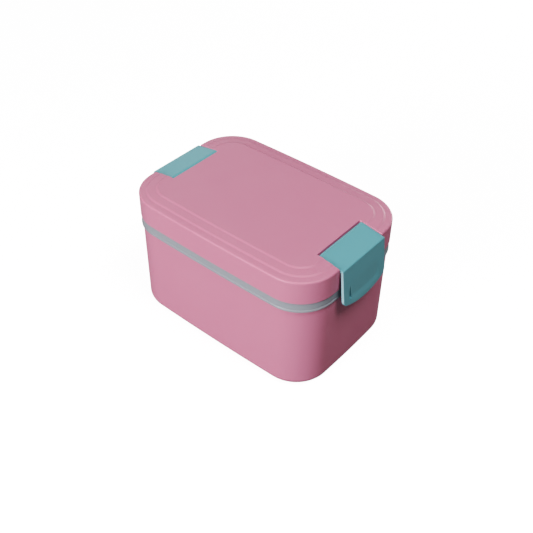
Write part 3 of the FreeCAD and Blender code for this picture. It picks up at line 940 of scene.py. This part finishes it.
def bent(across, reach, depth):
    """Place of a strip point: across the box, along the strip, and in from its outer face."""
    reach = min(max(reach, 0.0), STRIP_LENGTH)
    i = 0
    while i < len(PATH_REACH) - 2 and PATH_REACH[i + 1] < reach:
        i += 1
    part = (reach - PATH_REACH[i]) / (PATH_REACH[i + 1] - PATH_REACH[i])
    outer = OUTER_PATH[i].lerp(OUTER_PATH[i + 1], part)
    inner = INNER_PATH[i].lerp(INNER_PATH[i + 1], part)
    spot = outer.lerp(inner, depth / LATCH_THICKNESS)
    return Vector((spot.x, across, spot.y))


def clamped(value):
    """The value, kept between 0 and 1."""
    return min(max(value, 0.0), 1.0)


def eased(value):
    """0 below 0, 1 above 1, and a smooth run between."""
    value = clamped(value)
    return value * value * (3 - 2 * value)


def scoop_depth(across, height):
    """Depth of the finger scoop, and of the nail cleft beside it, in the front plate's face."""
    off = min(abs(across), FOOT_BOW_HALF)
    above_foot = height - (LATCH_FOOT_RADIUS - math.sqrt(LATCH_FOOT_RADIUS ** 2 - off ** 2))
    fall = clamped((SCOOP_TOP_Z - height) / (SCOOP_TOP_Z - SCOOP_DEEP_Z))
    lift = eased((above_foot - SCOOP_FOOT_Z) / (SCOOP_DEEP_Z - SCOOP_FOOT_Z))
    side = eased((SCOOP_HALF_WIDTH - abs(across)) / SCOOP_SIDE_RUN)
    scoop = SCOOP_DEPTH * fall * lift * side
    share = min((CLEFT_TOP_Z - height) / (CLEFT_TOP_Z - CLEFT_DEEP_Z), 1.0)
    if share < CLEFT_LEAST_SHARE or height < CLEFT_FOOT_Z:
        return scoop
    rise = (height - CLEFT_FOOT_Z + CLEFT_FOOT_MARGIN) / (CLEFT_DEEP_Z - CLEFT_FOOT_Z)
    half = CLEFT_WIDTH / 2 * share * min(rise, 1.0)
    cleft = eased(CLEFT_WALL_STEEPNESS * (1 - abs(across - CLEFT_ACROSS) / half))
    return scoop + CLEFT_DEPTH * math.sqrt(share) * cleft


def latch_outline():
    """The flat strip's outline: across the box, and along the strip from the hinge."""
    half = LATCH_HALF_WIDTH
    arc_end = STRIP_LENGTH - LATCH_FOOT_RADIUS
    corner_y = half - LATCH_CORNER_RADIUS
    reach = LATCH_FOOT_RADIUS - LATCH_CORNER_RADIUS
    lean = math.asin(corner_y / reach)
    corner_v = arc_end + reach * math.cos(lean)
    line = [Vector((-half, 0.0)), Vector((half, 0.0))]
    for turn in spaced(0, math.pi / 2 - lean, LATCH_CORNER_STEPS):
        line.append(Vector((corner_y + LATCH_CORNER_RADIUS * math.cos(turn),
                            corner_v + LATCH_CORNER_RADIUS * math.sin(turn))))
    for turn in spaced(lean, -lean, LATCH_FOOT_STEPS):
        line.append(Vector((LATCH_FOOT_RADIUS * math.sin(turn),
                            arc_end + LATCH_FOOT_RADIUS * math.cos(turn))))
    for turn in spaced(math.pi / 2 + lean, math.pi + 0.001, LATCH_CORNER_STEPS) + [math.pi]:
        line.append(Vector((-corner_y + LATCH_CORNER_RADIUS * math.cos(turn),
                            corner_v + LATCH_CORNER_RADIUS * math.sin(turn))))
    return line


def latch_cuts():
    """Where the flat strip is cut: distances along it and across it."""
    along = spaced(CUT_FIRST, STRIP_LENGTH - CUT_LAST_MARGIN, CUTS_ALONG)
    along += [reach + CUT_BEHIND_BEND for reach in PATH_REACH[1:-1]]
    stretch = math.hypot(1, front_lean())
    for height in (CLEFT_DEEP_Z, CLEFT_FOOT_Z, (CLEFT_DEEP_Z + CLEFT_FOOT_Z) / 2):
        along.append(STRIP_LENGTH - (height - LATCH_FOOT_Z) * stretch)
    across = spaced(CUT_SCOOP_START, SCOOP_HALF_WIDTH + CUT_SCOOP_MARGIN, CUTS_SCOOP)
    across += spaced(CLEFT_ACROSS - CUT_CLEFT_HALF, CLEFT_ACROSS + CUT_CLEFT_HALF, CUTS_CLEFT)
    across += [-SCOOP_HALF_WIDTH, -SCOOP_HALF_WIDTH + CUT_SIDE_STEP]
    return along, across


def make_latch(name, side):
    """Bent strip with a hinge barrel, a finger scoop and a bead that snaps under the flange."""
    build = bmesh.new()
    add_plate(build, latch_outline(), LATCH_THICKNESS, LATCH_EDGE_RADIUS,
              lambda point, depth: (point.x, point.y, depth))
    along_cuts, across_cuts = latch_cuts()
    for axis, cuts in ((Vector((0, 1, 0)), along_cuts), (Vector((1, 0, 0)), across_cuts)):
        for cut in cuts:
            geometry = build.verts[:] + build.edges[:] + build.faces[:]
            bmesh.ops.bisect_plane(build, geom=geometry, plane_co=axis * cut, plane_no=axis,
                                   dist=CUT_TOLERANCE)
    for vert in build.verts:
        across, along, depth = vert.co
        spot = bent(across, along, depth)
        if depth < OUTER_FACE:
            depth += scoop_depth(across, spot.z)
            spot = bent(across, along, depth)
        vert.co = spot
    add_rod(build, HINGE_X, HINGE_Z, BARREL_RADIUS, LATCH_HALF_WIDTH, BARREL_EDGE_RADIUS)
    tip_x = LENGTH / 2 - FLANGE_INSET - HOOK_BITE
    tip_z = FLANGE_BOTTOM - (HOOK_BITE + HOOK_GAP) * CATCH_RISE
    shelf_z = tip_z + HOOK_SHELF * CATCH_RISE
    root_x = CREASE_X + front_lean() * (CREASE_Z - shelf_z) - HOOK_ROOT
    hook = [(tip_x, tip_z), (tip_x + HOOK_SHELF, shelf_z), (root_x, shelf_z),
            (root_x, tip_z - HOOK_LEAD_IN)]
    add_prism(build, hook, -HOOK_HALF_WIDTH, HOOK_HALF_WIDTH, HOOK_EDGE_RADIUS)
    if side < 0:
        bmesh.ops.rotate(build, verts=build.verts, matrix=Matrix.Rotation(math.pi, 3, "Z"))
    bmesh.ops.recalc_face_normals(build, faces=build.faces)
    return finish_mesh(build, name, sharp=40)


# ---- materials ----
FLOW_SIZE = 45.0            # millimetres over which the melt's colour drifts
WIRE_LINE_GAP = 0.3         # drawing lines on the pins, drawn as coarse as they need to show
WIRE_LINE_DEPTH = 0.003
WIRE_LINE_STRETCH = 0.04
SIDE_HIGHLIGHT_EDGE = (0.45, 0.1)   # side faces get a painted highlight from here to here, in from their edge
SIDE_HIGHLIGHT_TOP = (0.3, -1.5)    # and from here to here, up from the crease


def linear(hex_colour):
    """sRGB hex to the linear colour that a shader takes."""
    values = []
    for i in (1, 3, 5):
        c = int(hex_colour[i:i + 2], 16) / 255
        values.append(c / 12.92 if c <= 0.04045 else ((c + 0.055) / 1.055) ** 2.4)
    return (*values, 1.0)


def empty_tree(owner):
    """The node tree of a material or world, with nothing in it."""
    owner.use_nodes = True
    owner.node_tree.nodes.clear()
    return owner.node_tree


def moulded_plastic(name, colour, shade, grain_mm, grain_depth_mm, roughness, roughness_swing,
                    values, side_highlight=None):
    """Injection-moulded plastic: colour drifts slightly with the flow of the melt, and the
    mould's spark-eroded skin gives a fine grain that softens the shine.  The optional paler
    colour is a painted highlight on a latch's side faces, drawn in place of the shine they catch."""
    material = bpy.data.materials.new(name)
    tree = empty_tree(material)
    place = add_node(tree, "ShaderNodeTexCoord").outputs["Object"]
    flow = add_node(tree, "ShaderNodeTexNoise", inputs={
        "Vector": place, "Scale": 1 / (FLOW_SIZE * MM), "Detail": 2.0, "Distortion": 0.6})
    tint = add_node(tree, "ShaderNodeMix", {"data_type": "RGBA"}, {
        "A": linear(colour), "B": linear(shade), "Factor": flow.outputs["Fac"]})
    # Painted highlight: a latch's side faces, below the crease, are drawn in a paler colour that
    # stands in for the shine they catch.
    if side_highlight:
        parts = add_node(tree, "ShaderNodeSeparateXYZ", inputs={"Vector": place})
        across = add_node(tree, "ShaderNodeMath", {"operation": "ABSOLUTE"},
                          {0: parts.outputs["Y"]})
        highlight_across = add_node(tree, "ShaderNodeMapRange", {"interpolation_type": "SMOOTHSTEP"}, {
            "From Min": (LATCH_HALF_WIDTH - SIDE_HIGHLIGHT_EDGE[0]) * MM,
            "From Max": (LATCH_HALF_WIDTH - SIDE_HIGHLIGHT_EDGE[1]) * MM,
            "Value": across.outputs["Value"]})
        low = add_node(tree, "ShaderNodeMapRange", {"interpolation_type": "SMOOTHSTEP"}, {
            "From Min": (CREASE_Z + SIDE_HIGHLIGHT_TOP[0]) * MM,
            "From Max": (CREASE_Z + SIDE_HIGHLIGHT_TOP[1]) * MM,
            "Value": parts.outputs["Z"]})
        both = add_node(tree, "ShaderNodeMath", {"operation": "MULTIPLY"},
                        {0: highlight_across.outputs["Result"], 1: low.outputs["Result"]})
        tint = add_node(tree, "ShaderNodeMix", {"data_type": "RGBA"}, {
            "A": tint.outputs["Result"], "B": linear(side_highlight), "Factor": both.outputs["Value"]})
    grain = add_node(tree, "ShaderNodeTexNoise", inputs={
        "Vector": place, "Scale": 1 / (grain_mm * MM), "Detail": 3.0, "Roughness": 0.6})
    gloss = add_node(tree, "ShaderNodeMapRange", inputs={
        "Value": flow.outputs["Fac"], "From Min": 0.3, "From Max": 0.7,
        "To Min": roughness - roughness_swing, "To Max": roughness + roughness_swing})
    bump = add_node(tree, "ShaderNodeBump", inputs={
        "Height": grain.outputs["Fac"], "Strength": 1.0, "Distance": grain_depth_mm * MM})
    shader = add_node(tree, "ShaderNodeBsdfPrincipled", inputs={
        "Base Color": tint.outputs["Result"], "Roughness": gloss.outputs["Result"],
        "Normal": bump.outputs["Normal"], **values})
    add_node(tree, "ShaderNodeOutputMaterial", inputs={"Surface": shader.outputs["BSDF"]})
    return material


# Polypropylene, moulded in a fine-textured mould: satin, with a soft broad shine and a faint
# waxy depth.  The real grain is about 0.1 mm; it is drawn at 0.9 mm so that it shows at all.
PINK_SHELL = moulded_plastic(
    "rose_polypropylene", "#da94a9", "#d68fa5",
    grain_mm=0.9, grain_depth_mm=0.006, roughness=0.47, roughness_swing=0.03,
    values={"IOR": 1.49, "Subsurface Weight": 0.06, "Subsurface Scale": 0.002,
            "Subsurface Radius": (1.0, 0.5, 0.5)})
# The latches are the same plastic, a little glossier.  Their side faces carry a painted highlight.
TEAL_LATCH = moulded_plastic(
    "aqua_polypropylene", "#81b7c0", "#7db2bc",
    grain_mm=0.8, grain_depth_mm=0.005, roughness=0.36, roughness_swing=0.03,
    # pale colour of the painted highlight on the latch's side faces
    side_highlight="#accdd5",
    values={"IOR": 1.49, "Subsurface Weight": 0.05, "Subsurface Scale": 0.002,
            "Subsurface Radius": (0.5, 0.8, 1.0)})
# The tray's thin band lets a little light in, so its blue-green looks greyer and softer.
TEAL_TRAY = moulded_plastic(
    "misty_blue_polypropylene", "#a5a9b0", "#a1a5ac",
    grain_mm=0.9, grain_depth_mm=0.005, roughness=0.44, roughness_swing=0.03,
    values={"IOR": 1.49, "Subsurface Weight": 0.12, "Subsurface Scale": 0.003,
            "Subsurface Radius": (0.8, 0.9, 1.0)})
# The liner is uncoloured polypropylene: milky, slightly warm, a little shinier than the shell.
PALE_LINER = moulded_plastic(
    "natural_polypropylene", "#e9dfdc", "#e3d8d6",
    grain_mm=0.9, grain_depth_mm=0.004, roughness=0.38, roughness_swing=0.03,
    values={"IOR": 1.49, "Subsurface Weight": 0.25, "Subsurface Scale": 0.004,
            "Subsurface Radius": (1.0, 0.9, 0.85)})
# Silicone rubber: matt and slightly powdery, so it has no sharp shine.
SILICONE = moulded_plastic(
    "silicone_rubber", "#dcdfe0", "#d6d9db",
    grain_mm=1.2, grain_depth_mm=0.004, roughness=0.62, roughness_swing=0.04,
    values={"IOR": 1.43, "Subsurface Weight": 0.2, "Subsurface Scale": 0.002,
            "Sheen Weight": 0.1, "Sheen Roughness": 0.5})


def drawn_steel():
    """Stainless spring wire: drawn through a die, so fine lines run along it."""
    material = bpy.data.materials.new("drawn_stainless_steel")
    tree = empty_tree(material)
    place = add_node(tree, "ShaderNodeTexCoord")
    stretch = add_node(tree, "ShaderNodeMapping", inputs={
        "Vector": place.outputs["Object"], "Scale": (1.0, WIRE_LINE_STRETCH, 1.0)})
    lines = add_node(tree, "ShaderNodeTexNoise", inputs={
        "Vector": stretch.outputs["Vector"], "Scale": 1 / (WIRE_LINE_GAP * MM), "Detail": 2.0})
    gloss = add_node(tree, "ShaderNodeMapRange", inputs={
        "Value": lines.outputs["Fac"], "To Min": 0.22, "To Max": 0.34})
    bump = add_node(tree, "ShaderNodeBump", inputs={
        "Height": lines.outputs["Fac"], "Strength": 1.0, "Distance": WIRE_LINE_DEPTH * MM})
    shader = add_node(tree, "ShaderNodeBsdfPrincipled", inputs={
        "Base Color": linear("#c9c7c3"), "Metallic": 1.0,
        "Roughness": gloss.outputs["Result"], "Normal": bump.outputs["Normal"]})
    add_node(tree, "ShaderNodeOutputMaterial", inputs={"Surface": shader.outputs["BSDF"]})
    return material


STEEL = drawn_steel()


# ---- pieces on their bodies ----
PIECES = (
    (make_base(), "base", "base_shell", "pink_shell", PINK_SHELL),
    (make_tray(), "tray", "inner_tray", "teal_tray", TEAL_TRAY),
    (make_tray_seal(), "tray", "tray_seal", "silicone_seal", SILICONE),
    (make_divider(), "divider", "tray_divider", "teal_tray", TEAL_TRAY),
    (make_lid(), "lid", "lid_shell", "pink_shell", PINK_SHELL),
    (make_liner(), "lid", "lid_liner", "pale_liner", PALE_LINER),
    (make_lid_seal(), "lid", "lid_seal", "silicone_seal", SILICONE),
    (make_latch("latch_plate_right", 1), "right_latch", "latch_right", "teal_latch", TEAL_LATCH),
    (make_latch("latch_plate_left", -1), "left_latch", "latch_left", "teal_latch", TEAL_LATCH),
)
for piece, body, node, slot, material in PIECES:
    piece.data.materials.append(material)
    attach(piece, body)
    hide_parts(node)

for node in ("hinge_pin_right", "hinge_pin_left"):
    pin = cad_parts[node]
    pin.data.materials.clear()
    pin.data.materials.append(STEEL)


# ---- camera ----
CAMERA_AZIMUTH = 39.327     # degrees, from the near long side towards the right end
CAMERA_ELEVATION = 41.055
CAMERA_ROLL = 0.991
CAMERA_DISTANCE = 632.8     # millimetres from the aim point
CAMERA_SLIDE = (3.24, 27.96)    # aim point, right and up from the origin in the view
CAMERA_LENS = 54.74
CAMERA_SENSOR = 36.0


def away(azimuth, elevation):
    """Direction from the box towards a camera or light, from angles in degrees."""
    turn, rise = math.radians(azimuth), math.radians(elevation)
    level = math.cos(rise)
    return Vector((math.sin(turn) * level, -math.cos(turn) * level, math.sin(rise)))


def add_camera():
    """Camera that looks down on the near corner, with a slight roll."""
    roll = math.radians(CAMERA_ROLL)
    back = away(CAMERA_AZIMUTH, CAMERA_ELEVATION)
    level = (-back).cross(Vector((0, 0, 1))).normalized()
    rise = level.cross(-back)
    right = level * math.cos(roll) + rise * math.sin(roll)
    up = rise * math.cos(roll) - level * math.sin(roll)
    data = bpy.data.cameras.new("camera")
    data.lens = CAMERA_LENS
    data.sensor_width = CAMERA_SENSOR
    camera = bpy.data.objects.new("camera", data)
    bpy.context.scene.collection.objects.link(camera)
    matrix = Matrix((right, up, back)).transposed().to_4x4()
    place = back * CAMERA_DISTANCE + right * CAMERA_SLIDE[0] + up * CAMERA_SLIDE[1]
    matrix.translation = place * MM
    camera.matrix_world = matrix
    bpy.context.scene.camera = camera


# ---- studio ----
LIGHT_AIM = Vector((0.0, 0.0, 0.06))        # metres

# Softboxes: name, azimuth from straight in front of the long side towards the right end and
# elevation (degrees), distance and size (metres), power (watts).
SOFTBOXES = (
    ("key", -4.0, 16.0, 1.3, 0.4, 16.7),
    ("overhead", 82.0, 65.0, 1.3, 0.45, 10.3),
    ("rim", 235.0, 28.0, 1.5, 0.8, 2.8),
    ("back", 182.0, 10.0, 1.3, 0.6, 6.7),
)

FLOOR_HALF = 6.0            # metres
FLOOR_DROP = 0.0005         # just under the foot, so that the two never share a plane
FLOOR_ALBEDO = 0.25
FLOOR_GLOW = 1.95
FILL_STRENGTH = 0.16
BACKDROP_STRENGTH = 2.4

# Light in the scene against brightness on film, both linear.
FILM_CURVE = ((0.0, 0.0), (0.05, 0.015), (0.1, 0.045), (0.15, 0.085), (0.25, 0.19), (0.35, 0.295),
              (0.5, 0.42), (0.7, 0.55), (1.0, 0.70), (1.5, 0.87), (2.2, 1.0))


def add_softbox(name, azimuth, elevation, distance, size, power):
    """Square soft light that faces the box."""
    data = bpy.data.lights.new(name, "AREA")
    data.size = size
    data.energy = power
    light = bpy.data.objects.new(name, data)
    bpy.context.scene.collection.objects.link(light)
    light.location = LIGHT_AIM + distance * away(azimuth, elevation)
    light.rotation_euler = (LIGHT_AIM - light.location).to_track_quat("-Z", "Y").to_euler()


def add_floor():
    """Plain pale sweep that the box stands on.  The lens sees it near white; the light that
    it throws back on the box is that of pale grey paper."""
    build = bmesh.new()
    build.faces.new([build.verts.new((x * FLOOR_HALF, y * FLOOR_HALF, -FLOOR_DROP))
                     for x, y in ((-1, -1), (1, -1), (1, 1), (-1, 1))])
    mesh = bpy.data.meshes.new("studio_floor")
    build.to_mesh(mesh)
    build.free()
    floor = bpy.data.objects.new("studio_floor", mesh)
    bpy.context.scene.collection.objects.link(floor)
    material = bpy.data.materials.new("pale_paper")
    tree = empty_tree(material)
    path = add_node(tree, "ShaderNodeLightPath")
    paper = add_node(tree, "ShaderNodeBsdfDiffuse", inputs={
        "Color": (FLOOR_ALBEDO, FLOOR_ALBEDO, FLOOR_ALBEDO, 1)})
    shine = add_node(tree, "ShaderNodeEmission", inputs={
        "Color": (1, 1, 1, 1), "Strength": FLOOR_GLOW})
    lit = add_node(tree, "ShaderNodeAddShader", inputs={0: paper.outputs[0], 1: shine.outputs[0]})
    mix = add_node(tree, "ShaderNodeMixShader", inputs={
        0: path.outputs["Is Camera Ray"], 1: paper.outputs[0], 2: lit.outputs[0]})
    add_node(tree, "ShaderNodeOutputMaterial", inputs={"Surface": mix.outputs[0]})
    mesh.materials.append(material)


def add_world():
    """Even fill light from all round, behind a white backdrop."""
    world = bpy.data.worlds.new("studio")
    bpy.context.scene.world = world
    tree = empty_tree(world)
    path = add_node(tree, "ShaderNodeLightPath")
    soft = add_node(tree, "ShaderNodeBackground", inputs={
        "Color": linear("#fffbf7"), "Strength": FILL_STRENGTH})
    white = add_node(tree, "ShaderNodeBackground", inputs={
        "Color": (1, 1, 1, 1), "Strength": BACKDROP_STRENGTH})
    mix = add_node(tree, "ShaderNodeMixShader", inputs={
        0: path.outputs["Is Camera Ray"], 1: soft.outputs[0], 2: white.outputs[0]})
    add_node(tree, "ShaderNodeOutputWorld", inputs={"Surface": mix.outputs[0]})


def set_tone_curve():
    """Film-like response: a gentle toe that deepens the shade, and a long shoulder."""
    view = bpy.context.scene.view_settings
    view.view_transform = "Standard"
    view.use_curve_mapping = True
    mapping = view.curve_mapping
    white = FILM_CURVE[-1][0]
    mapping.white_level = (white, white, white)
    combined = mapping.curves[3]
    for light, value in FILM_CURVE[1:-1]:
        combined.points.new(light / white, value)
    mapping.update()


add_camera()
add_floor()
add_world()
for softbox in SOFTBOXES:
    add_softbox(*softbox)
set_tone_curve()
